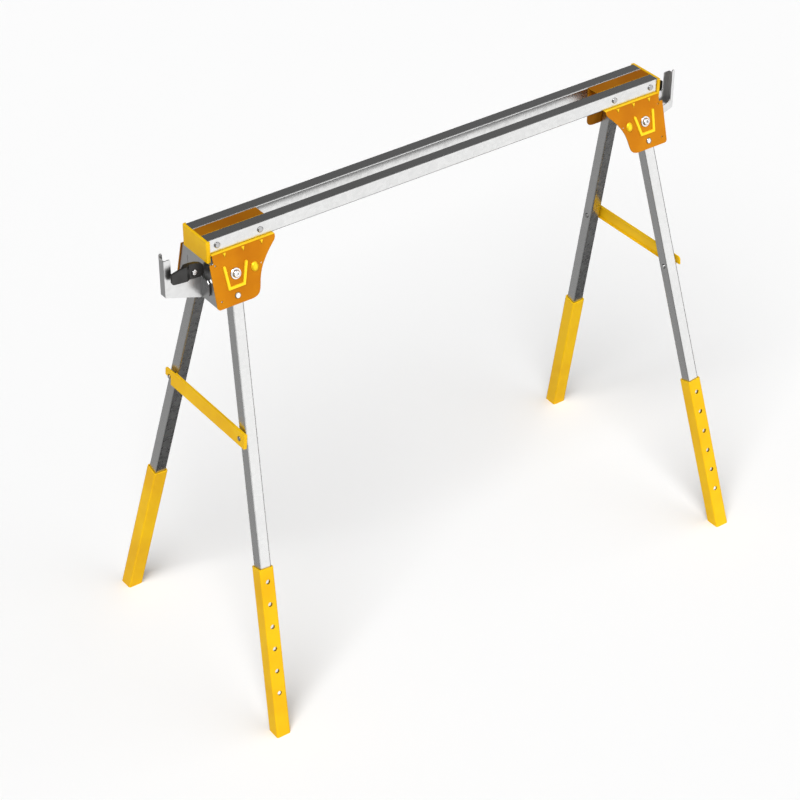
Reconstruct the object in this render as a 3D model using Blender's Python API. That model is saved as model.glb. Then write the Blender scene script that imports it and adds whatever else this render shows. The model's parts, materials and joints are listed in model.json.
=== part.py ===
"""Folding sawhorse: twin steel rails on two folding leg pairs with telescoping feet.

World frame: +X along the beam, -Y the front, +Z up, origin on the floor under the beam's middle.
Corner frame (u, v, w): u outboard along the beam, v outward across it, w up.
Every length is in metres.
"""

import math

import bpy
import bmesh
from mathutils import Matrix, Vector

MM = 0.001

# ---- driving dimensions -------------------------------------------------
BEAM_LENGTH = 874 * MM
BEAM_WIDTH = 64 * MM
BEAM_TOP = 813 * MM
RAIL_WIDTH = 20.5 * MM
RAIL_HEIGHT = 23 * MM
RAIL_WALL = 1.5 * MM
RAIL_CORNER = 1.4 * MM
GAP = 0.3 * MM

SPLAY = math.radians(14.73)
LEAN = math.radians(5.0)
PIVOT_INSET = 36 * MM
PIVOT_HALF_SPREAD = 35.8 * MM
PIVOT_HEIGHT = 748.9 * MM

LEG_SIZE = 20.5 * MM
LEG_WALL = 1.5 * MM
LEG_CORNER = 2.2 * MM
LEG_TAIL = 18 * MM
LEG_REACH = 762 * MM
SLEEVE_SIZE = 25.5 * MM
SLEEVE_BORE = 21.3 * MM
SLEEVE_LENGTH = 291.5 * MM
SLEEVE_FLOOR = 4 * MM
SLEEVE_CORNER = 2.6 * MM
HOLE_PITCH = 39 * MM
HOLE_COUNT = 6
FIRST_HOLE = 23.5 * MM
HOLE_RADIUS = 4 * MM
GROOVE_DEPTH = 1.2 * MM
GROOVE_HALF_WIDTH = 4.7 * MM
GROOVE_OVERRUN = 7 * MM

PLATE_THICKNESS = 1.6 * MM
PLATE_INNER = LEG_SIZE / 2 + 0.35 * MM
PLATE_OUTER = PLATE_INNER + PLATE_THICKNESS
SHELF_TOP = BEAM_TOP - RAIL_HEIGHT - GAP
SHELF_INNER = 12.3 * MM
BEND_STEPS = 4

CAP_THICKNESS = 4 * MM
CAP_WRAP = 6.1 * MM
CAP_WRAP_THICKNESS = 2 * MM
CAP_DEPTH = 36.5 * MM

SPACER_REACH = 112 * MM
SPACER_DEPTH = 20 * MM
SPACER_SHEET = 1.6 * MM
SPACER_HALF = (BEAM_WIDTH - 2 * RAIL_WIDTH) / 2 - GAP
SPACER_DROP = 0.5 * MM

WEB_INNER = 438.2 * MM
WEB_OUTER = 440 * MM
WEB_BOTTOM = 707 * MM
WEB_TOP = 776 * MM
WEB_FLANGE_SHEET = 1.5 * MM

RIVET_STATIONS = {"outer": 15.3 * MM, "inner": 91.8 * MM}
RIVET_DROP = 11.4 * MM
RIVET_RADIUS = 3 * MM

LOCK_DISTANCE = 34.7 * MM
LOCK_RADIUS = 5 * MM
BOLT_RADIUS = 4 * MM

BRACE_HEIGHT = 493.5 * MM
BRACE_HALF_DEPTH = 13 * MM
BRACE_INNER = 5 * MM
BRACE_OUTER = 7 * MM
BRACE_LIP = 2.5 * MM

ARM_SHEET = 1.8 * MM
ARM_FRONT = -17.5 * MM
ARM_BACK = -4 * MM
ARM_END = 506.7 * MM
ARM_ROOT = 441.8 * MM
HINGE_U = 447 * MM
HINGE_Y = -2 * MM
HINGE_RADIUS = 2 * MM
ARM_DROP = {"left": 0.0, "right": 9 * MM}

SCREW_U = 458 * MM
SCREW_RADIUS = 2 * MM
SCREW_Z = BEAM_TOP - 51 * MM
LEVER_BACK = -17.9 * MM
LEVER_FACE = -28 * MM
LEVER_RECESS = -24 * MM
HANDLE_BACK = -24.5 * MM

HEAD_SPAN = (700 * MM, 850 * MM)
CUT_REACH = 40 * MM
ROUND = 18
ENDS = {"left": -1, "right": 1}
SIDES = {"front": -1, "back": 1}
BRACE_SIDE = {"left": "front", "right": "back"}

# ---- colours: name -> (red, green, blue), metallic, roughness -----------
COLOURS = {
    "galvanised": ((0.52, 0.53, 0.53), 1.0, 0.38),
    "yellow": ((0.83, 0.45, 0.02), 0.0, 0.34),
    "bright_steel": ((0.80, 0.80, 0.80), 1.0, 0.18),
    "black": ((0.02, 0.02, 0.02), 0.0, 0.42),
}


# ---- scene and object helpers -------------------------------------------
def clear_scene():
    for obj in list(bpy.data.objects):
        bpy.data.objects.remove(obj, do_unlink=True)


def material(name):
    found = bpy.data.materials.get(name)
    if found:
        return found
    colour, metallic, roughness = COLOURS[name]
    made = bpy.data.materials.new(name)
    made.use_nodes = True
    shader = made.node_tree.nodes["Principled BSDF"]
    shader.inputs["Base Color"].default_value = (*colour, 1.0)
    shader.inputs["Metallic"].default_value = metallic
    shader.inputs["Roughness"].default_value = roughness
    return made


def to_object(bm, name, frame=None):
    """Close a mesh into an object, its points carried through the frame."""
    if frame is not None:
        bm.transform(frame)
    bmesh.ops.remove_doubles(bm, verts=bm.verts, dist=1e-6)
    bmesh.ops.recalc_face_normals(bm, faces=bm.faces)
    mesh = bpy.data.meshes.new(name)
    bm.to_mesh(mesh)
    bm.free()
    obj = bpy.data.objects.new(name, mesh)
    bpy.context.scene.collection.objects.link(obj)
    return obj


def combine(body, tools, operation):
    """Union, difference or intersection of a body with each tool in turn."""
    for tool in tools:
        modifier = body.modifiers.new("shape", "BOOLEAN")
        modifier.operation = operation
        modifier.solver = "EXACT"
        modifier.object = tool
        bpy.context.view_layer.update()
        graph = bpy.context.evaluated_depsgraph_get()
        shaped = bpy.data.meshes.new_from_object(body.evaluated_get(graph))
        body.modifiers.clear()
        spent = body.data
        body.data = shaped
        bpy.data.meshes.remove(spent)
        bpy.data.objects.remove(tool, do_unlink=True)
    return body


def place(obj, frame):
    """Carry a finished shape through a frame, keeping its faces turned outwards."""
    obj.data.transform(frame)
    if frame.determinant() < 0:
        obj.data.flip_normals()


def finish(obj, name, colour, origin=(0, 0, 0)):
    """Name a piece, give it its material and put its origin in place."""
    obj.name = name
    obj.data.name = name
    origin = Vector(origin)
    obj.data.transform(Matrix.Translation(-origin))
    obj.location = origin
    obj.data.materials.clear()
    obj.data.materials.append(material(colour))
    for face in obj.data.polygons:
        face.material_index = 0
        face.use_smooth = False
    return obj


# ---- solid builders, all along local z unless said ----------------------
def loft(bm, low, high):
    """Solid between two outlines with the same number of points."""
    bottom = [bm.verts.new(point) for point in low]
    top = [bm.verts.new(point) for point in high]
    bm.faces.new(bottom)
    bm.faces.new(list(reversed(top)))
    for i in range(len(low)):
        bm.faces.new((bottom[i - 1], bottom[i], top[i], top[i - 1]))


def prism(outline, low, high):
    bm = bmesh.new()
    loft(bm, [(x, y, low) for x, y in outline], [(x, y, high) for x, y in outline])
    return bm


def block(x0, x1, y0, y1, z0, z1):
    return prism([(x0, y0), (x1, y0), (x1, y1), (x0, y1)], z0, z1)


def square(size_x, size_y, corner, steps=2):
    """Rounded rectangle centred on the origin."""
    points = []
    for quarter in range(4):
        sx = (1, -1, -1, 1)[quarter]
        sy = (1, 1, -1, -1)[quarter]
        for step in range(steps + 1):
            turn = math.radians(90 * (quarter + step / steps))
            x = sx * (size_x / 2 - corner) + corner * math.cos(turn)
            y = sy * (size_y / 2 - corner) + corner * math.sin(turn)
            points.append((x, y))
    return points


def tube(outer, inner, low, high):
    """Open-ended tube between two outlines with the same number of points."""
    bm = bmesh.new()
    rings = []
    for outline, height in ((outer, low), (outer, high), (inner, high), (inner, low)):
        rings.append([bm.verts.new((x, y, height)) for x, y in outline])
    count = len(outer)
    for here, there in zip(rings, rings[1:] + rings[:1]):
        for i in range(count):
            bm.faces.new((here[i - 1], here[i], there[i], there[i - 1]))
    return bm


def lathe(profile, sides=ROUND):
    """Solid of revolution about z; the profile runs (radius, height), zero radius at both ends."""
    bm = bmesh.new()
    rings = []
    for radius, height in profile:
        if radius == 0:
            rings.append([bm.verts.new((0, 0, height))])
            continue
        turns = [2 * math.pi * i / sides for i in range(sides)]
        rings.append([bm.verts.new((radius * math.cos(t), radius * math.sin(t), height)) for t in turns])
    for here, there in zip(rings, rings[1:]):
        for i in range(sides):
            if len(here) == 1:
                corners = (here[0], there[i], there[i - 1])
            elif len(there) == 1:
                corners = (here[i - 1], here[i], there[0])
            else:
                corners = (here[i - 1], here[i], there[i], there[i - 1])
            bm.faces.new(corners)
    return bm


def rod(radius, low, high, sides=ROUND):
    return lathe([(0, low), (radius, low), (radius, high), (0, high)], sides)


def arc(cx, cy, radius, start, end, steps):
    """Points on an arc, angles in degrees."""
    points = []
    for step in range(steps + 1):
        turn = math.radians(start + (end - start) * step / steps)
        points.append((cx + radius * math.cos(turn), cy + radius * math.sin(turn)))
    return points


def stroke(path, width, steps=4):
    """Outline of a path drawn with a round-ended pen."""
    half = width / 2
    path = [Vector(p) for p in path]
    left, right = [], []
    for i, point in enumerate(path):
        into = (point - path[i - 1]).normalized() if i else None
        out = (path[i + 1] - point).normalized() if i < len(path) - 1 else None
        along = (into + out).normalized() if into and out else into or out
        normal = Vector((-along.y, along.x))
        reach = half / max(0.3, along.dot(out or into))
        left.append(point + normal * reach)
        right.append(point - normal * reach)
    outline = [tuple(p) for p in left]
    last = math.degrees(math.atan2(*reversed(path[-1] - path[-2])))
    outline += arc(*path[-1], half, last + 90, last - 90, steps)[1:-1]
    outline += [tuple(p) for p in reversed(right)]
    first = math.degrees(math.atan2(*reversed(path[0] - path[1])))
    outline += arc(*path[0], half, first + 90, first - 90, steps)[1:-1]
    return outline


def axes(origin, x, y, z):
    """Frame whose local axes point along x, y and z."""
    frame = Matrix.Identity(4)
    for column, axis in enumerate((x, y, z, origin)):
        for row in range(3):
            frame[row][column] = axis[row]
    return frame


# ---- frames --------------------------------------------------------------
HALF = BEAM_LENGTH / 2
PIVOT = Vector((HALF - PIVOT_INSET, PIVOT_HALF_SPREAD, PIVOT_HEIGHT))
OUTBOARD = Vector((1, 0, 0))
OUTWARD = Vector((0, math.cos(SPLAY), math.sin(SPLAY)))
UPSLOPE = Vector((0, -math.sin(SPLAY), math.cos(SPLAY)))
LEG_ACROSS = OUTBOARD * math.cos(LEAN) + UPSLOPE * math.sin(LEAN)
LEG_UP = UPSLOPE * math.cos(LEAN) - OUTBOARD * math.sin(LEAN)

LEG = axes(PIVOT, LEG_ACROSS, OUTWARD, LEG_UP)
PLATE_FACE = axes(PIVOT, OUTBOARD, UPSLOPE, OUTWARD)
ALONG_BEAM = axes((0, 0, 0), (0, 1, 0), (0, 0, 1), (1, 0, 0))
ACROSS_BEAM = axes((0, 0, 0), (1, 0, 0), (0, 0, 1), (0, 1, 0))

LEG_DROP = PIVOT_HEIGHT / LEG_UP.z
SLEEVE_TOP = LEG_DROP - SLEEVE_LENGTH
FOOT_BUTTON = SLEEVE_TOP + FIRST_HOLE + (HOLE_COUNT - 1) * HOLE_PITCH

BRACE_LEAN = math.atan2(-LEG_UP.x, LEG_UP.z)
BRACE_POINT = PIVOT - LEG_UP * (PIVOT_HEIGHT - BRACE_HEIGHT) / LEG_UP.z
BRACE_SPAN = 2 * BRACE_POINT.y
BRACE_UP = Vector((-math.sin(BRACE_LEAN), 0, math.cos(BRACE_LEAN)))
BRACE_OUT = Vector((math.cos(BRACE_LEAN), 0, math.sin(BRACE_LEAN)))
BRACE = axes(BRACE_POINT, (0, -1, 0), BRACE_UP, BRACE_OUT)
BRACE_STUD = axes(BRACE_POINT, (0, 1, 0), BRACE_UP, BRACE_OUT)


def leg_point(distance):
    """Point on the leg's axis, so far down from the pivot."""
    return PIVOT - LEG_UP * distance


def out_at(distance):
    """Frame on the leg's axis with z pointing out of the outward face."""
    return axes(leg_point(distance), LEG_ACROSS, LEG_UP, OUTWARD)


def corner(end, side):
    """Corner frame to world."""
    return Matrix.Diagonal((ENDS[end], SIDES[side], 1, 1))


def end_frame(end):
    """Outboard along u, y unchanged, to world."""
    return Matrix.Diagonal((ENDS[end], 1, 1, 1))


def arm_frame(end):
    """Arm frame (u outboard, y from the main plate to the back plate, z up) to world."""
    drop = Matrix.Translation((0, 0, -ARM_DROP[end]))
    return drop @ Matrix.Diagonal((ENDS[end], -ENDS[end], 1, 1))


# ---- the beam --------------------------------------------------------------
def make_rail(side):
    centre = (0, SIDES[side] * (BEAM_WIDTH - RAIL_WIDTH) / 2, BEAM_TOP - RAIL_HEIGHT / 2)
    frame = axes(centre, (0, 1, 0), (0, 0, 1), (1, 0, 0))
    outer = square(RAIL_WIDTH, RAIL_HEIGHT, RAIL_CORNER)
    inner = square(RAIL_WIDTH - 2 * RAIL_WALL, RAIL_HEIGHT - 2 * RAIL_WALL, RAIL_CORNER / 3)
    body = to_object(tube(outer, inner, -HALF, HALF), "rail", frame)
    holes = []
    for end in ENDS.values():
        for inset in RIVET_STATIONS.values():
            at = Matrix.Translation((end * (HALF - inset), 0, BEAM_TOP - RIVET_DROP))
            hole = rod(RIVET_RADIUS + GAP, -BEAM_WIDTH, BEAM_WIDTH)
            holes.append(to_object(hole, "hole", at @ ACROSS_BEAM))
    combine(body, holes, "DIFFERENCE")
    finish(body, side + "_rail", "galvanised", centre)


def make_tie_rivet(end, station):
    centre = (ENDS[end] * (HALF - RIVET_STATIONS[station]), 0, BEAM_TOP - RIVET_DROP)
    face = BEAM_WIDTH / 2 + 0.15 * MM
    head = [(RIVET_RADIUS, face), (5 * MM, face), (4.9 * MM, face + 1.2 * MM)]
    head += [(3.6 * MM, face + 2.1 * MM), (0, face + 2.1 * MM)]
    profile = [(r, -h) for r, h in reversed(head)] + head
    body = to_object(lathe(profile), "rivet", Matrix.Translation(centre) @ ACROSS_BEAM)
    finish(body, end + "_tie_rivet_" + station, "galvanised", centre)


def make_spacer(end):
    top = BEAM_TOP - SPACER_DROP
    low = BEAM_TOP - SPACER_DEPTH
    half = SPACER_HALF
    inside = half - SPACER_SHEET
    under = top - SPACER_SHEET
    section = [(-half, low), (-half, top), (half, top), (half, low)]
    section += [(inside, low), (inside, under), (-inside, under), (-inside, low)]
    frame = end_frame(end)
    body = to_object(prism(section, HALF - SPACER_REACH, HALF), "spacer", frame @ ALONG_BEAM)
    holes = []
    for inset in RIVET_STATIONS.values():
        at = Matrix.Translation((HALF - inset, 0, BEAM_TOP - RIVET_DROP))
        hole = rod(RIVET_RADIUS + GAP, -BEAM_WIDTH / 2, BEAM_WIDTH / 2)
        holes.append(to_object(hole, "hole", frame @ at @ ACROSS_BEAM))
    combine(body, holes, "DIFFERENCE")
    finish(body, end + "_spacer_channel", "yellow", (ENDS[end] * (HALF - SPACER_REACH / 2), 0, top))


def make_end_cap(end):
    inner = HALF + GAP
    outer = inner + CAP_THICKNESS
    rail_face = BEAM_WIDTH / 2 + GAP
    side = rail_face + CAP_WRAP_THICKNESS
    back = outer - CAP_WRAP
    bend = 2 * MM
    half = arc(outer - bend, side - bend, bend, 0, 90, BEND_STEPS)
    half += [(back, side), (back, rail_face), (inner, rail_face)]
    outline = half + [(u, -v) for u, v in reversed(half)]
    body = to_object(prism(outline, BEAM_TOP - CAP_DEPTH, BEAM_TOP), "cap", end_frame(end))
    finish(body, end + "_end_cap", "yellow", (ENDS[end] * inner, 0, BEAM_TOP))


# ---- the head brackets (outline points and stations are in millimetres) ----------
PLATE_OFFSET = 39.3 * MM
PLATE_BEND = 3 * MM
PLATE_EDGE = -4.8 * MM
PLATE_NOTCH = (2.3 * MM, -14.5 * MM)
PLATE_LOW = -87.2 * MM
PLATE_CURVE = [(58, -87.2), (66, -85.2), (71.3, -80), (74, -72), (76.2, -62), (79.4, -52)]
PLATE_CURVE += [(83.6, -43), (88.8, -35), (94.8, -27), (101.5, -19.4), (108.2, -12.6)]
PLATE_CURVE += [(112.2, -8.2), (113.6, -3)]
TOOTH_STATIONS = (23 * MM, 56 * MM, 89 * MM)
EMBOSS_PATH = [(18.4, -24.3), (20.9, -59.2), (47, -59.0), (56.8, -26.8)]
DOME_AT = (70, -39.2)
SMALL_HOLES = [(4.8, -17.8, 1.7), (4.6, -75.5, 1.7), (82.3, -37.5, 1.2)]


def on_plate(inset, rise):
    """Inset from the beam's end and rise along the plate, to plate frame coordinates."""
    return (PIVOT_INSET - inset, rise + PLATE_OFFSET)


def smooth(points, steps=2):
    """Catmull-Rom curve through the points."""
    ends = [points[0]] + list(points) + [points[-1]]
    curve = []
    for i in range(1, len(ends) - 2):
        p0, p1, p2, p3 = (Vector(p) for p in ends[i - 1 : i + 3])
        for step in range(steps):
            t = step / steps
            bend = (2 * p0 - 5 * p1 + 4 * p2 - p3) * t * t + (3 * p1 - p0 - 3 * p2 + p3) * t**3
            curve.append(tuple(0.5 * (2 * p1 + (p2 - p0) * t + bend)))
    return curve + [tuple(points[-1])]


def plate_section():
    """The bent sheet's section across the beam: shelf, bend and sloping plate."""
    inner_radius = PLATE_BEND - PLATE_THICKNESS
    bend_w = SHELF_TOP - PLATE_BEND
    rise = (bend_w - PIVOT.z) * math.sin(SPLAY)
    bend_v = PIVOT.y + (PLATE_OUTER - PLATE_BEND - rise) / math.cos(SPLAY)
    slope = math.degrees(SPLAY)
    section = [(SHELF_INNER, SHELF_TOP)]
    section += arc(bend_v, bend_w, PLATE_BEND, 90, slope, BEND_STEPS)
    for depth in (PLATE_OUTER, PLATE_INNER):
        foot = PIVOT + OUTWARD * depth + UPSLOPE * (PLATE_LOW * 0.75)
        section.append((foot.y, foot.z))
    section += arc(bend_v, bend_w, inner_radius, slope, 90, BEND_STEPS)
    section.append((SHELF_INNER, SHELF_TOP - PLATE_THICKNESS))
    return section


def plate_outline():
    notch, notch_low = PLATE_NOTCH
    above = 20 * MM
    corner_radius = 5 * MM
    points = [(notch, above), (notch, notch_low), (PLATE_EDGE, notch_low)]
    centre_x = PLATE_EDGE + corner_radius
    points += arc(centre_x, PLATE_LOW + corner_radius, corner_radius, 180, 270, BEND_STEPS)
    curve = smooth([(x * MM, y * MM) for x, y in PLATE_CURVE])
    points += curve + [(curve[-1][0], above)]
    return [on_plate(*p) for p in points]


def make_side_plate(end, side):
    frame = corner(end, side)
    sheet = prism(plate_section(), HALF - 130 * MM, HALF + 10 * MM)
    body = to_object(sheet, "plate", frame @ ALONG_BEAM)
    face = frame @ PLATE_FACE
    outline = to_object(prism(plate_outline(), -20 * MM, 20 * MM), "outline", face)
    combine(body, [outline], "INTERSECT")

    sunk = PLATE_OUTER - 0.4 * MM
    raised = []
    path = [on_plate(x * MM, y * MM) for x, y in EMBOSS_PATH]
    bm = bmesh.new()
    wide = stroke(path, 5.8 * MM)
    narrow = stroke(path, 4.4 * MM)
    loft(bm, [(x, y, sunk) for x, y in wide], [(x, y, PLATE_OUTER + 2 * MM) for x, y in narrow])
    raised.append(to_object(bm, "emboss", face))
    for station in TOOTH_STATIONS:
        x, y = on_plate(station, -2.2 * MM)
        bm = bmesh.new()
        low = [(x - 4 * MM, y, sunk), (x + 4 * MM, y, sunk), (x, y - 9 * MM, sunk)]
        top = PLATE_OUTER + 1.3 * MM
        high = [(x - 2 * MM, y, top), (x + 2 * MM, y, top), (x, y - 5 * MM, top)]
        loft(bm, low, high)
        raised.append(to_object(bm, "tooth", face))
    dome_x, dome_y = on_plate(DOME_AT[0] * MM, DOME_AT[1] * MM)
    swell = Matrix.Translation((dome_x, dome_y, 0)) @ Matrix.Diagonal((1, 1.25, 1, 1))
    shell = [(0, sunk), (6.5 * MM, sunk)]
    shell += [(r, h + PLATE_OUTER) for r, h in quarter_ellipse(6.5 * MM, 4.2 * MM)]
    raised.append(to_object(lathe(shell), "dome", face @ swell))
    combine(body, raised, "UNION")

    hollow = [(0, PLATE_INNER - MM), (5 * MM, PLATE_INNER - MM)]
    hollow += [(r, h + PLATE_INNER) for r, h in quarter_ellipse(5 * MM, 4.0 * MM)]
    cuts = [to_object(lathe(hollow), "hollow", face @ swell)]
    for x, y, radius in SMALL_HOLES:
        at = Matrix.Translation((*on_plate(x * MM, y * MM), 0))
        cuts.append(to_object(rod(radius * MM, 0, 20 * MM, 12), "hole", face @ at))
    for distance, radius in ((0, BOLT_RADIUS), (LOCK_DISTANCE, LOCK_RADIUS)):
        hole = rod(radius + 0.25 * MM, 0, 20 * MM)
        cuts.append(to_object(hole, "hole", frame @ out_at(distance)))
    combine(body, cuts, "DIFFERENCE")
    origin = frame @ Vector((PIVOT.x, BEAM_WIDTH / 2, SHELF_TOP))
    finish(body, f"{end}_{side}_side_plate", "yellow", origin)


def quarter_ellipse(radius, height, steps=5):
    """Profile from the rim up to the crown of a dome."""
    points = []
    for step in range(steps):
        turn = math.pi / 2 * step / steps
        points.append((radius * math.cos(turn), height * math.sin(turn)))
    return points + [(0, height)]


EAR_LEVELS = ((718 * MM, 721.5 * MM), (739.5 * MM, 743 * MM))
EAR_BOX = (439 * MM, 451.5 * MM, -6 * MM, 2.2 * MM)
KNUCKLE_RADIUS = 3.8 * MM
KNUCKLE_LEVELS = (722.5 * MM, 738.5 * MM)
WEB_SLOT = (24.8 * MM, 26.6 * MM, 749.5 * MM, 760.5 * MM)


def make_web_plate(end):
    edge = []
    for level in (WEB_BOTTOM, WEB_TOP):
        depth = PLATE_INNER - GAP
        run = (level - PIVOT.z - depth * math.sin(SPLAY)) / math.cos(SPLAY)
        edge.append(PIVOT.y + depth * math.cos(SPLAY) - run * math.sin(SPLAY))
    low, high = edge
    outline = [(-low, WEB_BOTTOM), (low, WEB_BOTTOM), (high, WEB_TOP), (-high, WEB_TOP)]
    frame = end_frame(end)
    body = to_object(prism(outline, WEB_INNER, WEB_OUTER), "web", frame @ ALONG_BEAM)
    joined = []
    for side in SIDES:
        outer = PLATE_INNER - GAP
        inner = outer - WEB_FLANGE_SHEET
        flange = block(23 * MM, WEB_OUTER - PIVOT.x, -40 * MM, 24.5 * MM, inner, outer)
        joined.append(to_object(flange, "flange", corner(end, side) @ PLATE_FACE))
    hang = arm_frame(end)
    for level in EAR_LEVELS:
        joined.append(to_object(block(*EAR_BOX, *level), "ear", hang))
    combine(body, joined, "UNION")
    pin = Matrix.Translation((HINGE_U, HINGE_Y, 0))
    bore = rod(HINGE_RADIUS + 0.15 * MM, *HEAD_SPAN, 20)
    cuts = [to_object(bore, "bore", hang @ pin)]
    y0, y1, z0, z1 = WEB_SLOT
    level_arm = Matrix.Translation((0, 0, ARM_DROP[end])) @ hang
    slot = block(WEB_INNER - 5 * MM, WEB_OUTER + 5 * MM, y0, y1, z0, z1)
    cuts.append(to_object(slot, "slot", level_arm))
    combine(body, cuts, "DIFFERENCE")
    finish(body, end + "_web_plate", "galvanised", (ENDS[end] * WEB_OUTER, 0, WEB_BOTTOM))


# ---- legs --------------------------------------------------------------------
def make_leg_tube(end, side):
    frame = corner(end, side)
    inside = LEG_SIZE - 2 * LEG_WALL
    outer = square(LEG_SIZE, LEG_SIZE, LEG_CORNER)
    inner = square(inside, inside, LEG_CORNER - LEG_WALL)
    body = to_object(tube(outer, inner, -LEG_REACH, LEG_TAIL), "leg", frame @ LEG)
    through = 16 * MM
    cuts = [to_object(rod(BOLT_RADIUS + 0.3 * MM, -through, through), "hole", frame @ out_at(0))]
    for distance, radius in ((LOCK_DISTANCE, LOCK_RADIUS + 0.5 * MM), (FOOT_BUTTON, 3.9 * MM)):
        cuts.append(to_object(rod(radius, 5 * MM, through), "hole", frame @ out_at(distance)))
    cuts.append(to_object(rod(STUD_RADIUS + 0.25 * MM, -through, through), "hole", frame @ BRACE_STUD))
    combine(body, cuts, "DIFFERENCE")
    finish(body, f"{end}_{side}_leg_tube", "galvanised", frame @ PIVOT)


def floor_ring(outline, lift):
    """Points of a leg-frame outline carried down to a level just above the floor."""
    ring = []
    for a, b in outline:
        drop = (PIVOT.z + a * LEG_ACROSS.z + b * OUTWARD.z) / LEG_UP.z
        ring.append((a, b, lift - drop))
    return ring


def make_foot_sleeve(end, side):
    frame = corner(end, side)
    outer = square(SLEEVE_SIZE, SLEEVE_SIZE, SLEEVE_CORNER)
    bm = bmesh.new()
    loft(bm, floor_ring(outer, 0), [(x, y, -SLEEVE_TOP) for x, y in outer])
    body = to_object(bm, "sleeve", frame @ LEG)
    bore = square(SLEEVE_BORE, SLEEVE_BORE, SLEEVE_CORNER / 2)
    bm = bmesh.new()
    above = 5 * MM - SLEEVE_TOP
    loft(bm, floor_ring(bore, SLEEVE_FLOOR), [(x, y, above) for x, y in bore])
    cuts = [to_object(bm, "bore", frame @ LEG)]
    first = SLEEVE_TOP + FIRST_HOLE
    face = SLEEVE_BORE / 2
    half = GROOVE_HALF_WIDTH
    groove = block(
        -half, half, -FOOT_BUTTON - GROOVE_OVERRUN, GROOVE_OVERRUN - first, 8 * MM, face + GROOVE_DEPTH
    )
    cuts.append(to_object(groove, "groove", frame @ axes(PIVOT, LEG_ACROSS, LEG_UP, OUTWARD)))
    for index in range(HOLE_COUNT):
        hole = rod(HOLE_RADIUS, 8 * MM, 20 * MM, 16)
        cuts.append(to_object(hole, "hole", frame @ out_at(first + index * HOLE_PITCH)))
    combine(body, cuts, "DIFFERENCE")
    finish(body, f"{end}_{side}_foot_sleeve", "yellow", frame @ leg_point(SLEEVE_TOP))


def make_foot_button(end, side):
    frame = corner(end, side)
    profile = [(0, 6.2), (4.9, 6.2), (4.9, 8.3), (3.6, 8.3), (3.6, 10.7)]
    profile += [(3.2, 11.3), (2.2, 11.6), (0, 11.7)]
    body = lathe([(r * MM, h * MM) for r, h in profile])
    body = to_object(body, "button", frame @ out_at(FOOT_BUTTON))
    finish(body, f"{end}_{side}_foot_button", "bright_steel", frame @ leg_point(FOOT_BUTTON))


def make_lock_button(end, side):
    frame = corner(end, side)
    out = PLATE_OUTER
    radius = LOCK_RADIUS - 0.2 * MM
    profile = [(0, PLATE_INNER), (radius, PLATE_INNER), (radius, out + 0.6 * MM)]
    profile += [(0.86 * radius, out + 1.6 * MM), (0.55 * radius, out + 2.2 * MM), (0, out + 2.4 * MM)]
    body = to_object(lathe(profile), "button", frame @ out_at(LOCK_DISTANCE))
    origin = frame @ (leg_point(LOCK_DISTANCE) + OUTWARD * out)
    finish(body, f"{end}_{side}_lock_button", "bright_steel", origin)


def make_pivot_bolt(end, side):
    frame = corner(end, side)
    face = PLATE_OUTER + 0.15 * MM
    profile = [(0, -19 * MM), (3.5 * MM, -19 * MM), (BOLT_RADIUS, -18.4 * MM), (BOLT_RADIUS, face)]
    profile += [(9.2 * MM, face), (9.2 * MM, face + 1 * MM), (8.6 * MM, face + 1.5 * MM)]
    profile += [(6.6 * MM, face + 1.6 * MM), (6.2 * MM, face + 3.4 * MM), (4.8 * MM, face + 4.9 * MM)]
    profile += [(0, face + 5.4 * MM)]
    body = to_object(lathe(profile), "bolt", frame @ out_at(0))
    socket = rod(2.9 * MM, face + 2.8 * MM, face + 9 * MM, 6)
    combine(body, [to_object(socket, "socket", frame @ out_at(0))], "DIFFERENCE")
    finish(body, f"{end}_{side}_pivot_bolt", "bright_steel", frame @ PIVOT)


def make_pivot_nut(end, side):
    frame = corner(end, side)
    near = -LEG_SIZE / 2 - 0.5 * MM
    across = 13 * MM
    hexagon = arc(0, 0, across / math.sqrt(3), 0, 300, 5)
    circle = arc(0, 0, BOLT_RADIUS + 0.15 * MM, 0, 345, 23)
    body = to_object(prism(hexagon, near - 6.4 * MM, near), "nut", frame @ out_at(0))
    bore = to_object(prism(circle, -30 * MM, 0), "bore", frame @ out_at(0))
    combine(body, [bore], "DIFFERENCE")
    finish(body, f"{end}_{side}_pivot_nut", "bright_steel", frame @ PIVOT)


# ---- the brace between a pair of legs ------------------------------------------
BRACE_FRONT = -13.5 * MM
BRACE_BACK = BRACE_SPAN + 12.3 * MM
HOOK_RADIUS = 4.2 * MM
STUD_RADIUS = 2.45 * MM
COLLAR_RADIUS = 5.5 * MM
LEG_FACE = LEG_SIZE / 2


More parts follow.
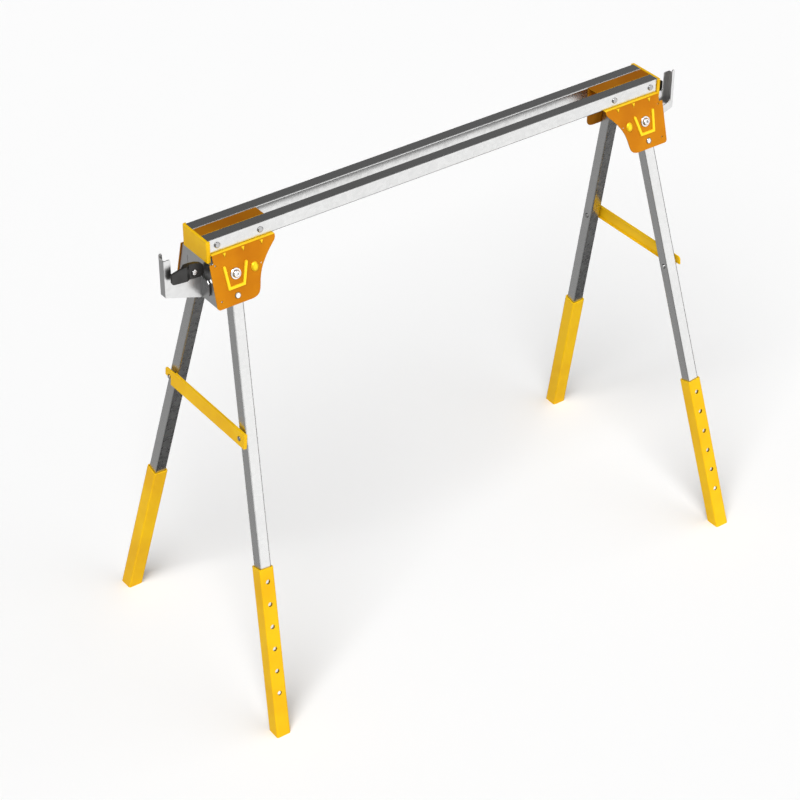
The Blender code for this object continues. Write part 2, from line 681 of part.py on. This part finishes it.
def make_brace(end):
    half = BRACE_HALF_DEPTH
    outline = [(BRACE_FRONT, -half), (BRACE_SPAN - HOOK_RADIUS, -half)]
    outline += arc(BRACE_SPAN, 0, HOOK_RADIUS, 180, 0, 8)
    outline += [(BRACE_SPAN + HOOK_RADIUS, -2 * MM), (BRACE_BACK - MM, -2 * MM), (BRACE_BACK, -MM)]
    outline += arc(BRACE_BACK - 5 * MM, half - 5 * MM, 5 * MM, 0, 90, 5)
    outline += [(BRACE_FRONT, half)]
    inner = LEG_FACE + BRACE_INNER
    outer = LEG_FACE + BRACE_OUTER
    body = to_object(prism(outline, inner, outer), "brace")
    lip_low = inner - BRACE_LIP
    lip_end = BRACE_SPAN - 14 * MM
    sheet = 1.6 * MM
    lips = [
        block(BRACE_FRONT, BRACE_FRONT + sheet, -half, half, lip_low - MM, outer),
        block(BRACE_FRONT, lip_end, half - sheet, half, lip_low, outer),
        block(BRACE_FRONT, lip_end, -half, sheet - half, lip_low, outer),
    ]
    combine(body, [to_object(lip, "lip") for lip in lips], "UNION")
    combine(body, [to_object(rod(STUD_RADIUS + 0.25 * MM, 0, CUT_REACH), "hole")], "DIFFERENCE")
    place(body, corner(end, BRACE_SIDE[end]) @ BRACE)
    origin = corner(end, BRACE_SIDE[end]) @ BRACE_POINT
    finish(body, end + "_brace", "yellow", origin)


def stud_profile(shank, tip):
    """Stud through both walls of a leg, with a collar against its outer face."""
    head = -LEG_FACE - 0.25 * MM
    collar_low = LEG_FACE + 0.3 * MM
    collar_high = LEG_FACE + BRACE_INNER - 0.35 * MM
    profile = [(0, head - 1.6 * MM), (3.2 * MM, head - 1.6 * MM), (4.2 * MM, head - 0.7 * MM)]
    profile += [(4.2 * MM, head), (STUD_RADIUS, head), (STUD_RADIUS, collar_low)]
    profile += [(COLLAR_RADIUS, collar_low), (COLLAR_RADIUS, collar_high), (shank, collar_high)]
    return profile + tip


def make_brace_rivet(end):
    frame = corner(end, BRACE_SIDE[end])
    face = LEG_FACE + BRACE_OUTER + 0.15 * MM
    tip = [(STUD_RADIUS, face), (4 * MM, face), (4 * MM, face + 0.8 * MM)]
    tip += [(2.8 * MM, face + 1.7 * MM), (0, face + 1.9 * MM)]
    body = to_object(lathe(stud_profile(STUD_RADIUS, tip), 14), "rivet", frame @ BRACE_STUD)
    finish(body, end + "_brace_rivet", "galvanised", frame @ BRACE_POINT)


def make_brace_pin(end):
    frame = corner(end, "back" if BRACE_SIDE[end] == "front" else "front")
    face = LEG_FACE + BRACE_OUTER
    tip = [(3.4 * MM, face + 1.4 * MM), (2.6 * MM, face + 2.1 * MM), (0, face + 2.3 * MM)]
    body = to_object(lathe(stud_profile(3.4 * MM, tip), 14), "pin", frame @ BRACE_STUD)
    finish(body, end + "_brace_pin", "bright_steel", frame @ BRACE_POINT)


# ---- support arm and its lever ---------------------------------------------------
def arm_sheet(end, outline, low, high):
    """Sheet in the arm's u-z plane; heights are measured from the beam's top, in mm."""
    lifted = [(u * MM, BEAM_TOP + z * MM) for u, z in outline]
    return to_object(prism(lifted, low, high), "sheet", arm_frame(end) @ ACROSS_BEAM)


def make_support_arm(end):
    hang = arm_frame(end)
    main = [(441.8, -103.8), (506.7, -81.4), (506.7, -20), (504.7, -18), (496.3, -18)]
    main += [(494.8, -19.5), (494.8, -48.5), (492.4, -51), (470, -47.5), (441.8, -46)]
    body = arm_sheet(end, main, ARM_FRONT, ARM_FRONT + ARM_SHEET)
    rear = [(449, -90.2), (456, -90.2), (456, -98.9), (506.7, -81.4), (506.7, -13)]
    rear += [(505.4, -10.8), (502.8, -10.8), (501.5, -13), (501.5, -66), (498, -70)]
    rear += [(456, -79), (456, -74.8), (449, -74.8)]
    joined = [arm_sheet(end, rear, ARM_BACK - ARM_SHEET, ARM_BACK)]
    wall = block(
        ARM_END - ARM_SHEET, ARM_END, ARM_FRONT, ARM_BACK, BEAM_TOP - 81.4 * MM, BEAM_TOP - 18 * MM
    )
    joined.append(to_object(wall, "wall", hang))
    leaf = [(-17.5, -103.8), (-38, -91), (-38, -70), (-34, -66), (-15.7, -66), (-15.7, -103.8)]
    leaf = [(y * MM, BEAM_TOP + z * MM) for y, z in leaf]
    sheet = prism(leaf, ARM_ROOT, ARM_ROOT + ARM_SHEET)
    joined.append(to_object(sheet, "leaf", hang @ ALONG_BEAM))
    pin = hang @ Matrix.Translation((HINGE_U, HINGE_Y, 0))
    joined.append(to_object(rod(KNUCKLE_RADIUS, *KNUCKLE_LEVELS, 24), "knuckle", pin))
    combine(body, joined, "UNION")
    cuts = [to_object(rod(HINGE_RADIUS + 0.2 * MM, *HEAD_SPAN, 20), "bore", pin)]
    screw = hang @ Matrix.Translation((SCREW_U, 0, SCREW_Z)) @ ACROSS_BEAM
    cuts.append(to_object(rod(SCREW_RADIUS + 0.2 * MM, -CUT_REACH, 0, 20), "bore", screw))
    combine(body, cuts, "DIFFERENCE")
    finish(body, end + "_support_arm", "galvanised", hang @ Vector((HINGE_U, HINGE_Y, KNUCKLE_LEVELS[0])))


def make_hinge_pin(end):
    low = EAR_LEVELS[0][0] - GAP
    high = EAR_LEVELS[1][1] + GAP
    wide = 3.2 * MM
    profile = [(0, low - 1.5 * MM), (2.6 * MM, low - 1.5 * MM), (wide, low - MM), (wide, low)]
    profile += [(HINGE_RADIUS, low), (HINGE_RADIUS, high), (wide, high), (wide, high + MM)]
    profile += [(2.6 * MM, high + 1.5 * MM), (0, high + 1.5 * MM)]
    axis = Matrix.Translation((HINGE_U, HINGE_Y, 0))
    body = to_object(lathe(profile, 14), "pin", arm_frame(end) @ axis)
    finish(body, end + "_arm_hinge_pin", "bright_steel", arm_frame(end) @ Vector((HINGE_U, HINGE_Y, low)))


def make_latch_lever(end):
    frame = arm_frame(end) @ Matrix.Translation((SCREW_U, 0, SCREW_Z)) @ ACROSS_BEAM
    outline = [(42, 11.5), (40.8, 12.9), (29.4, 15.6), (18, 17), (8, 17.2), (-3, 15.6)]
    outline += [(-11.5, 12.2), (-14.5, 9.6), (-16.2, 5), (-16.6, 0), (-16, -5)]
    outline += [(-13, -10.4), (0, -9.6), (37, -6.1), (40.6, -4.8), (42.4, -1.5)]
    outline = [(x * MM, y * MM) for x, y in outline]
    body = to_object(prism(outline, LEVER_FACE, LEVER_BACK), "lever", frame)
    step = [(15 * MM, LEVER_FACE), (9 * MM, LEVER_RECESS), (-40 * MM, LEVER_RECESS)]
    step += [(-40 * MM, -CUT_REACH), (15 * MM, -CUT_REACH)]
    above = arm_frame(end) @ Matrix.Translation((SCREW_U, 0, 0))
    hollow = [(17 * MM, LEVER_BACK + 5 * MM), (17 * MM, LEVER_BACK - MM), (24 * MM, HANDLE_BACK)]
    hollow += [(60 * MM, HANDLE_BACK), (60 * MM, LEVER_BACK + 5 * MM)]
    cuts = [to_object(prism(shape, *HEAD_SPAN), "step", above) for shape in (step, hollow)]
    cuts.append(to_object(rod(6.2 * MM, -CUT_REACH, LEVER_RECESS + 1.5 * MM), "pocket", frame))
    cuts.append(to_object(rod(SCREW_RADIUS + 0.3 * MM, -CUT_REACH, 0, 20), "bore", frame))
    combine(body, cuts, "DIFFERENCE")
    origin = arm_frame(end) @ Vector((SCREW_U, LEVER_BACK, SCREW_Z))
    finish(body, end + "_latch_lever", "black", origin)


def make_latch_screw(end):
    seat = LEVER_RECESS + 1.35 * MM
    profile = [(0, seat - 2.6 * MM), (3.6 * MM, seat - 2.4 * MM), (5 * MM, seat - 1.4 * MM)]
    profile += [(5.2 * MM, seat), (SCREW_RADIUS, seat), (SCREW_RADIUS, ARM_FRONT + ARM_SHEET + GAP)]
    profile += [(3.6 * MM, ARM_FRONT + ARM_SHEET + GAP), (3.6 * MM, -13.4 * MM), (0, -13.4 * MM)]
    frame = arm_frame(end) @ Matrix.Translation((SCREW_U, 0, SCREW_Z)) @ ACROSS_BEAM
    body = to_object(lathe(profile, 16), "screw", frame)
    top = seat - 3 * MM
    bottom = seat - 1.3 * MM
    cross = [
        to_object(block(-3 * MM, 3 * MM, -0.5 * MM, 0.5 * MM, top, bottom), "slot", frame),
        to_object(block(-0.5 * MM, 0.5 * MM, -3 * MM, 3 * MM, top, bottom), "slot", frame),
    ]
    combine(body, cross, "DIFFERENCE")
    origin = arm_frame(end) @ Vector((SCREW_U, seat, SCREW_Z))
    finish(body, end + "_latch_screw", "bright_steel", origin)


# ---- assembly ------------------------------------------------------------------
clear_scene()
for rail_side in SIDES:
    make_rail(rail_side)
for beam_end in ENDS:
    make_end_cap(beam_end)
    make_spacer(beam_end)
    make_web_plate(beam_end)
    for rivet_station in RIVET_STATIONS:
        make_tie_rivet(beam_end, rivet_station)
    for leg_side in SIDES:
        make_side_plate(beam_end, leg_side)
        make_leg_tube(beam_end, leg_side)
        make_foot_sleeve(beam_end, leg_side)
        make_foot_button(beam_end, leg_side)
        make_lock_button(beam_end, leg_side)
        make_pivot_bolt(beam_end, leg_side)
        make_pivot_nut(beam_end, leg_side)
    make_brace(beam_end)
    make_brace_rivet(beam_end)
    make_brace_pin(beam_end)
    make_support_arm(beam_end)
    make_hinge_pin(beam_end)
    make_latch_lever(beam_end)
    make_latch_screw(beam_end)
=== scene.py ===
"""Looks of the folding sawhorse: metals, paint and plastic, the studio round it and the camera."""

import json
import math

import bpy
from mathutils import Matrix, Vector

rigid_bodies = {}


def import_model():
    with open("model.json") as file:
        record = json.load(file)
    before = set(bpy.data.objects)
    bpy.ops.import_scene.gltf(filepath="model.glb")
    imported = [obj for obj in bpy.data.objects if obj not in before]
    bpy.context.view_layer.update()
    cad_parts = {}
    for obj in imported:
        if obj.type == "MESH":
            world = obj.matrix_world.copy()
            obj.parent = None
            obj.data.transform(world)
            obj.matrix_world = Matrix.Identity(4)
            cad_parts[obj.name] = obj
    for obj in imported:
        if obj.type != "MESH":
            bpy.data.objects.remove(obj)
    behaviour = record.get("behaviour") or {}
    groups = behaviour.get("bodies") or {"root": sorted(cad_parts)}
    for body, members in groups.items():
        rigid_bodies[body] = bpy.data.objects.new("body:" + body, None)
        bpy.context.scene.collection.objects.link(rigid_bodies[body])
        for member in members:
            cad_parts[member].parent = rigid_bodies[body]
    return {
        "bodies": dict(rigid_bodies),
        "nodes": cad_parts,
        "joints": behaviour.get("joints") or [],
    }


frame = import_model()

MM = 0.001
KEPT = set(frame["nodes"].values()) | set(frame["bodies"].values())
for spare in [o for o in bpy.data.objects if o not in KEPT]:
    bpy.data.objects.remove(spare, do_unlink=True)
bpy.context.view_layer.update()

ENDS = {"left": -1, "right": 1}
SIDES = {"front": -1, "back": 1}
UP = (0, 0, 1)
ALONG = (1, 0, 0)
JOINTS = {joint["name"]: joint for joint in frame["joints"]}

# ---- camera, at the object's three-quarter view from above ------------------------
CAMERA_AT = Vector((-2.0489, -2.7654, 2.7652))
CAMERA_TOWARDS = Vector((0.47581, 0.66272, -0.57827))
LENS = 112.5

# ---- base colours, linear ------------------------------------------------------------
ZINC = (0.66, 0.66, 0.655)
ZINC_DULL = (0.50, 0.50, 0.50)
ZINC_WORN = (0.27, 0.26, 0.26)
# bright plated steel, and also the painted highlight colour on zinc edges
BRIGHT_STEEL_AND_HIGHLIGHT = (0.76, 0.75, 0.75)
YELLOW = (0.84, 0.50, 0.004)
YELLOW_DEEP = (0.76, 0.41, 0.003)
# painted highlight colour for the edges of the yellow paint
YELLOW_HIGHLIGHT = (1.0, 0.74, 0.02)
AMBER = (0.60, 0.22, 0.003)
AMBER_DEEP = (0.48, 0.15, 0.002)
# painted highlight colour for the edges and raised features of the amber paint
AMBER_HIGHLIGHT = (1.0, 0.66, 0.02)
BLACK = (0.012, 0.011, 0.010)
# painted highlight colour along the edges of the black nylon
BLACK_HIGHLIGHT = (0.06, 0.057, 0.055)

# ---- surfaces ------------------------------------------------------------------------
# how far a rounded normal leans before an edge gets the painted highlight
EDGE_LEAN = (0.02, 0.22)
AMBER_METALLIC = 0.5
AMBER_ROUGHNESS = 0.30
PAINT_SPECULAR = 0.12
WELD_DISTANCE = 0.002 * MM
SMOOTH_BELOW = math.radians(32)
SMOOTH_BELOW_SQUARE = math.radians(21)
SQUARE_SECTIONS = ("_rail", "_leg_tube", "_foot_sleeve")
FLATS_WEIGHT = 80

# ---- a side plate's plane, from the pivot at a beam end (along, across, up) --------------
PIVOT = (0.401, 0.0358, 0.7489)
# heights above the plate and a level at its bend where the amber is lightened: a painted highlight
PLATE_OUTER = 12.2 * MM
RAISED_FROM = PLATE_OUTER + 0.2 * MM
RAISED_FULL = PLATE_OUTER + 0.9 * MM
BEND_LEVEL = (788.9 * MM, 789.4 * MM)

# ---- studio sizes and strengths ------------------------------------------------------
FLOOR_SIZE = 60
AMBIENT = 0.05
# soft panels: (towards, half angle of the outer edge, half angle of the even core, strength)
PANELS = (
    ((0.35, -0.93, -0.15), 48, 33, 1.35),
    ((-0.50, 0.68, -0.50), 55, 15, 0.34),
    ((-0.9, -0.2, 0.1), 50, 20, 0.30),
    ((0.6, 0.75, 0.0), 45, 20, 0.14),
)


# ---- node helpers ----------------------------------------------------------------------
class Shader:
    """A material's node tree with short calls for the nodes used here."""

    def __init__(self, name):
        self.material = bpy.data.materials.new(name)
        self.material.use_nodes = True
        self.nodes = self.material.node_tree.nodes
        self.links = self.material.node_tree.links
        self.principled = self.nodes["Principled BSDF"]

    def add(self, kind, **settings):
        node = self.nodes.new("ShaderNode" + kind)
        for key, value in settings.items():
            setattr(node, key, value)
        return node

    def put(self, socket, value):
        if isinstance(value, bpy.types.NodeSocket):
            self.links.new(value, socket)
        elif isinstance(value, tuple) and socket.type == "RGBA" and len(value) == 3:
            socket.default_value = (*value, 1)
        else:
            socket.default_value = value

    def metres(self):
        return self.add("TexCoord").outputs["Object"]

    def vector(self, operation, a, b):
        node = self.add("VectorMath", operation=operation)
        self.put(node.inputs[0], a)
        self.put(node.inputs[3] if operation == "SCALE" else node.inputs[1], b)
        return node.outputs["Value" if operation == "DOT_PRODUCT" else "Vector"]

    def along(self, axis, squeeze):
        """Object position with lengths along the axis multiplied by squeeze."""
        axis = tuple(Vector(axis).normalized())
        place = self.metres()
        run = self.vector("DOT_PRODUCT", place, axis)
        node = self.add("Math", operation="MULTIPLY")
        self.put(node.inputs[0], run)
        self.put(node.inputs[1], 1 - squeeze)
        line = self.add("CombineXYZ")
        for index, share in enumerate(axis):
            part = self.add("Math", operation="MULTIPLY")
            self.put(part.inputs[0], node.outputs[0])
            self.put(part.inputs[1], share)
            self.put(line.inputs[index], part.outputs[0])
        return self.vector("SUBTRACT", place, line.outputs[0])

    def noise(self, place, scale, detail=4.0, roughness=0.55):
        node = self.add("TexNoise")
        self.put(node.inputs["Vector"], place)
        node.inputs["Scale"].default_value = scale
        node.inputs["Detail"].default_value = detail
        node.inputs["Roughness"].default_value = roughness
        return node.outputs["Fac"]

    def cells(self, place, scale):
        node = self.add("TexVoronoi", feature="F1")
        self.put(node.inputs["Vector"], place)
        node.inputs["Scale"].default_value = scale
        grey = self.add("SeparateColor")
        self.put(grey.inputs[0], node.outputs["Color"])
        return grey.outputs[0]

    def spread(self, value, low, high, to_low, to_high):
        node = self.add("MapRange", interpolation_type="SMOOTHSTEP")
        for index, item in enumerate((value, low, high, to_low, to_high)):
            self.put(node.inputs[index], item)
        return node.outputs[0]

    def blend(self, share, a, b):
        node = self.add("Mix", data_type="RGBA")
        self.put(node.inputs[0], share)
        self.put(node.inputs[6], a)
        self.put(node.inputs[7], b)
        return node.outputs[2]

    def sum(self, a, b, operation="ADD"):
        node = self.add("Math", operation=operation)
        self.put(node.inputs[0], a)
        self.put(node.inputs[1], b)
        return node.outputs[0]

    def rounded(self, radius):
        node = self.add("Bevel", samples=4)
        node.inputs["Radius"].default_value = radius
        return node.outputs["Normal"]

    def edges(self, normal, low, high):
        """0 on flats and 1 on edges, from how far the rounded normal leans."""
        flat = self.add("NewGeometry").outputs["True Normal"]
        lean = self.vector("DOT_PRODUCT", normal, flat)
        return self.spread(lean, 1 - high, 1 - low, 1.0, 0.0)

    def bump(self, height, distance, strength, normal):
        node = self.add("Bump")
        node.inputs["Strength"].default_value = strength
        node.inputs["Distance"].default_value = distance
        self.put(node.inputs["Height"], height)
        self.put(node.inputs["Normal"], normal)
        return node.outputs[0]

    def finish(self, **sockets):
        for name, value in sockets.items():
            label = name.replace("_", " ").title().replace("Ior", "IOR")
            self.put(self.principled.inputs[label], value)
        return self.material


# ---- materials ------------------------------------------------------------------------------
def galvanised(name, axis, roughness=0.27, clean=ZINC, dulled=ZINC_DULL):
    """Zinc-plated steel: a soft spangle, rolling lines along the axis and handling marks, with every edge
    lightened towards bright steel as a painted highlight.
    """
    s = Shader(name)
    place = s.metres()
    spangle = s.cells(place, 190)
    clouds = s.noise(place, 22, 3)
    lines = s.noise(s.along(axis, 0.012), 900, 3, 0.6)
    scuffs = s.spread(s.noise(s.along(axis, 0.25), 130, 6, 0.7), 0.60, 0.74, 0.0, 1.0)
    dull = s.sum(s.sum(spangle, 0.14, "MULTIPLY"), s.sum(clouds, 0.24, "MULTIPLY"))
    normal = s.rounded(0.35 * MM)
    painted_edge_highlight = s.edges(normal, *EDGE_LEAN)
    # edges are blended towards bright steel: a painted highlight
    colour = s.blend(painted_edge_highlight, s.blend(dull, clean, dulled), BRIGHT_STEEL_AND_HIGHLIGHT)
    rough = s.spread(dull, 0.05, 0.34, roughness - 0.03, roughness + 0.05)
    rough = s.sum(rough, s.sum(scuffs, 0.04, "MULTIPLY"))
    normal = s.bump(lines, 0.02 * MM, 0.22, normal)
    normal = s.bump(spangle, 0.01 * MM, 0.07, normal)
    return s.finish(base_color=colour, metallic=1.0, roughness=rough, normal=normal)


def raised_highlight_mask(s, pivot, outward):
    """Mask for a painted highlight: 1 on what stands up from a side plate and on its bend, 0 on its flat.
    """
    from_pivot = s.vector("SUBTRACT", s.metres(), pivot)
    height = s.vector("DOT_PRODUCT", from_pivot, outward)
    standing = s.spread(height, RAISED_FROM, RAISED_FULL, 0.0, 1.0)
    level = s.vector("DOT_PRODUCT", s.metres(), UP)
    return s.sum(standing, s.spread(level, *BEND_LEVEL, 0.0, 1.0), "MAXIMUM")


def powder(name, colour, deep, edge, metallic=0.0, roughness=0.34, plate=None):
    """Baked powder coat: orange peel, slow colour drift, and a painted highlight line on each edge.

    With a plate's (pivot, outward), whatever stands up from that plate, and the plate above its bend,
    gets the painted highlight too.
    """
    s = Shader(name)
    place = s.metres()
    drift = s.noise(place, 9, 3)
    peel = s.noise(place, 620, 2, 0.5)
    dust = s.noise(place, 2600, 2, 0.5)
    normal = s.rounded(0.7 * MM)
    painted_edge_highlight = s.edges(normal, *EDGE_LEAN)
    if plate:
        # raised features and the bend of a side plate get the painted highlight as well
        painted_edge_highlight = s.sum(painted_edge_highlight, raised_highlight_mask(s, *plate), "MAXIMUM")
    body = s.blend(s.spread(drift, 0.35, 0.7, 0.0, 1.0), colour, deep)
    # edges, and raised features where a plate is given, are blended towards the edge colour: a painted
    # highlight
    body = s.blend(painted_edge_highlight, body, edge)
    rough = s.spread(drift, 0.3, 0.7, roughness - 0.04, roughness + 0.07)
    rough = s.sum(rough, s.sum(dust, 0.06, "MULTIPLY"))
    normal = s.bump(peel, 0.03 * MM, 0.30, normal)
    return s.finish(
        base_color=body,
        metallic=metallic,
        roughness=rough,
        normal=normal,
        specular_ior_level=PAINT_SPECULAR,
    )


def turned_steel(name):
    """Bright plated hardware with faint turning marks."""
    s = Shader(name)
    place = s.metres()
    haze = s.noise(place, 160, 4)
    marks = s.noise(place, 2400, 3, 0.6)
    normal = s.rounded(0.4 * MM)
    rough = s.spread(haze, 0.3, 0.7, 0.13, 0.26)
    colour = s.blend(s.spread(haze, 0.35, 0.75, 0.0, 0.6), BRIGHT_STEEL_AND_HIGHLIGHT, ZINC)
    normal = s.bump(marks, 0.01 * MM, 0.25, normal)
    return s.finish(base_color=colour, metallic=1.0, roughness=rough, normal=normal)


def moulded_black(name):
    """Black moulded nylon with a fine spark texture, lighter along its edges as a painted highlight."""
    s = Shader(name)
    place = s.metres()
    grain = s.noise(place, 1500, 3, 0.6)
    wear = s.noise(place, 60, 4)
    normal = s.rounded(0.8 * MM)
    painted_edge_highlight = s.edges(normal, 0.02, 0.3)
    # edges are blended half-way towards a lighter black: a painted highlight
    colour = s.blend(s.sum(painted_edge_highlight, 0.5, "MULTIPLY"), BLACK, BLACK_HIGHLIGHT)
    rough = s.spread(wear, 0.3, 0.7, 0.30, 0.46)
    normal = s.bump(grain, 0.05 * MM, 0.4, normal)
    return s.finish(base_color=colour, roughness=rough, normal=normal)


# ---- what each node wears ---------------------------------------------------------------------
def amber_paint(name, plate=None):
    return powder(name, AMBER, AMBER_DEEP, AMBER_HIGHLIGHT, AMBER_METALLIC, AMBER_ROUGHNESS, plate)


paint = powder("yellow_powder_coat", YELLOW, YELLOW_DEEP, YELLOW_HIGHLIGHT)
amber = amber_paint("amber_powder_coat")
bright = turned_steel("bright_plated_steel")
black = moulded_black("black_nylon")
rail_zinc = galvanised("zinc_rails", ALONG)
head_zinc = galvanised("zinc_sheet", UP, 0.30)
rivet_zinc = galvanised("zinc_rivets", UP, 0.34, ZINC_DULL, ZINC_WORN)
leg_zinc = {
    f"{end}_{side}_leg_tube": galvanised(f"zinc_{end}_{side}", JOINTS[f"{end}_{side}_foot_slide"]["axis"])
    for end in ENDS
    for side in SIDES
}
# each side plate's amber carries a painted highlight on its raised U, dome, teeth and bend
plate_amber = {}
for end, along in ENDS.items():
    for side, across in SIDES.items():
        pivot = (along * PIVOT[0], across * PIVOT[1], PIVOT[2])
        outward = tuple(-share for share in JOINTS[f"{end}_{side}_head_lock_press"]["axis"])
        plate_amber[f"{end}_{side}_side_plate"] = amber_paint(f"amber_{end}_{side}", (pivot, outward))
ROLES = (
    ("_rail", rail_zinc),
    ("_spacer_channel", amber),
    ("_foot_sleeve", paint),
    ("_end_cap", paint),
    ("_brace", paint),
    ("_latch_lever", black),
    ("_web_plate", head_zinc),
    ("_support_arm", head_zinc),
    ("_tie_rivet_outer", rivet_zinc),
    ("_tie_rivet_inner", rivet_zinc),
    ("_brace_rivet", rivet_zinc),
)


def wear(name):
    """The node's own material if it has one, then its role's, then bright steel."""
    own = plate_amber.get(name) or leg_zinc.get(name)
    if own:
        return own
    for ending, material in ROLES:
        if name.endswith(ending):
            return material
    return bright


for node_name, node in frame["nodes"].items():
    node.material_slots[0].material = wear(node_name)
    normals = node.data.attributes.get("custom_normal")
    if normals:
        node.data.attributes.remove(normals)
    for face in node.data.polygons:
        face.use_smooth = True
    weld = node.modifiers.new("weld", "WELD")
    weld.merge_threshold = WELD_DISTANCE
    crease = node.modifiers.new("crease", "EDGE_SPLIT")
    square = node_name.endswith(SQUARE_SECTIONS)
    crease.split_angle = SMOOTH_BELOW_SQUARE if square else SMOOTH_BELOW
    crease.use_edge_sharp = False
    node.modifiers.new("flats", "WEIGHTED_NORMAL").weight = FLATS_WEIGHT


# ---- studio --------------------------------------------------------------------------------------
def plane(name, size, at):
    mesh = bpy.data.meshes.new(name)
    half = size / 2
    corners = [(-half, -half, 0), (half, -half, 0), (half, half, 0), (-half, half, 0)]
    mesh.from_pydata(corners, [], [(0, 1, 2, 3)])
    made = bpy.data.objects.new(name, mesh)
    made.location = at
    bpy.context.scene.collection.objects.link(made)
    return made


def floor():
    made = plane("floor", FLOOR_SIZE, (0, 0, 0))
    s = Shader("pale_floor")
    s.finish(base_color=(0.93, 0.93, 0.93), roughness=0.9, specular_ior_level=0.0)
    made.data.materials.append(s.material)
    made.visible_glossy = False


def daylight(name, away, spread, strength):
    """Even soft light over the whole floor, from one side of the sky."""
    light = bpy.data.lights.new(name, "SUN")
    light.angle = math.radians(spread)
    light.energy = strength
    made = bpy.data.objects.new(name, light)
    made.rotation_mode = "QUATERNION"
    made.rotation_quaternion = (-Vector(away)).to_track_quat("-Z", "Y")
    bpy.context.scene.collection.objects.link(made)


def surroundings():
    """Studio surroundings as soft panels: bright in front, dim above, darker below."""
    world = bpy.data.worlds.new("studio")
    bpy.context.scene.world = world
    world.use_nodes = True
    nodes, links = world.node_tree.nodes, world.node_tree.links
    background = nodes["Background"]
    background.inputs["Color"].default_value = (1, 1, 1, 1)
    direction = nodes.new("ShaderNodeTexCoord").outputs["Generated"]

    def panel(towards, edge, core, strength):
        dot = nodes.new("ShaderNodeVectorMath")
        dot.operation = "DOT_PRODUCT"
        links.new(direction, dot.inputs[0])
        dot.inputs[1].default_value = Vector(towards).normalized()
        ramp = nodes.new("ShaderNodeMapRange")
        ramp.interpolation_type = "SMOOTHSTEP"
        links.new(dot.outputs["Value"], ramp.inputs[0])
        ramp.inputs[1].default_value = math.cos(math.radians(edge))
        ramp.inputs[2].default_value = math.cos(math.radians(core))
        ramp.inputs[4].default_value = strength
        return ramp.outputs[0]

    total = None
    for parts in PANELS:
        value = panel(*parts)
        if total is None:
            total = value
            continue
        add = nodes.new("ShaderNodeMath")
        links.new(total, add.inputs[0])
        links.new(value, add.inputs[1])
        total = add.outputs[0]
    lift = nodes.new("ShaderNodeMath")
    links.new(total, lift.inputs[0])
    lift.inputs[1].default_value = AMBIENT
    links.new(lift.outputs[0], background.inputs["Strength"])


floor()
surroundings()
daylight("key", (-0.58, -0.52, 1.0), 38, 2.9)
daylight("fill", (0.7, -0.5, 1.0), 60, 0.75)

lens = bpy.data.cameras.new("camera")
lens.lens = LENS
lens.sensor_width = 36
camera = bpy.data.objects.new("camera", lens)
camera.location = CAMERA_AT
camera.rotation_mode = "QUATERNION"
camera.rotation_quaternion = CAMERA_TOWARDS.to_track_quat("-Z", "Y")
bpy.context.scene.collection.objects.link(camera)
bpy.context.scene.camera = camera
bpy.context.scene.view_settings.view_transform = "Standard"

# ---- update the view layer after the looks ----------------------------------------------------------
bpy.context.view_layer.update()
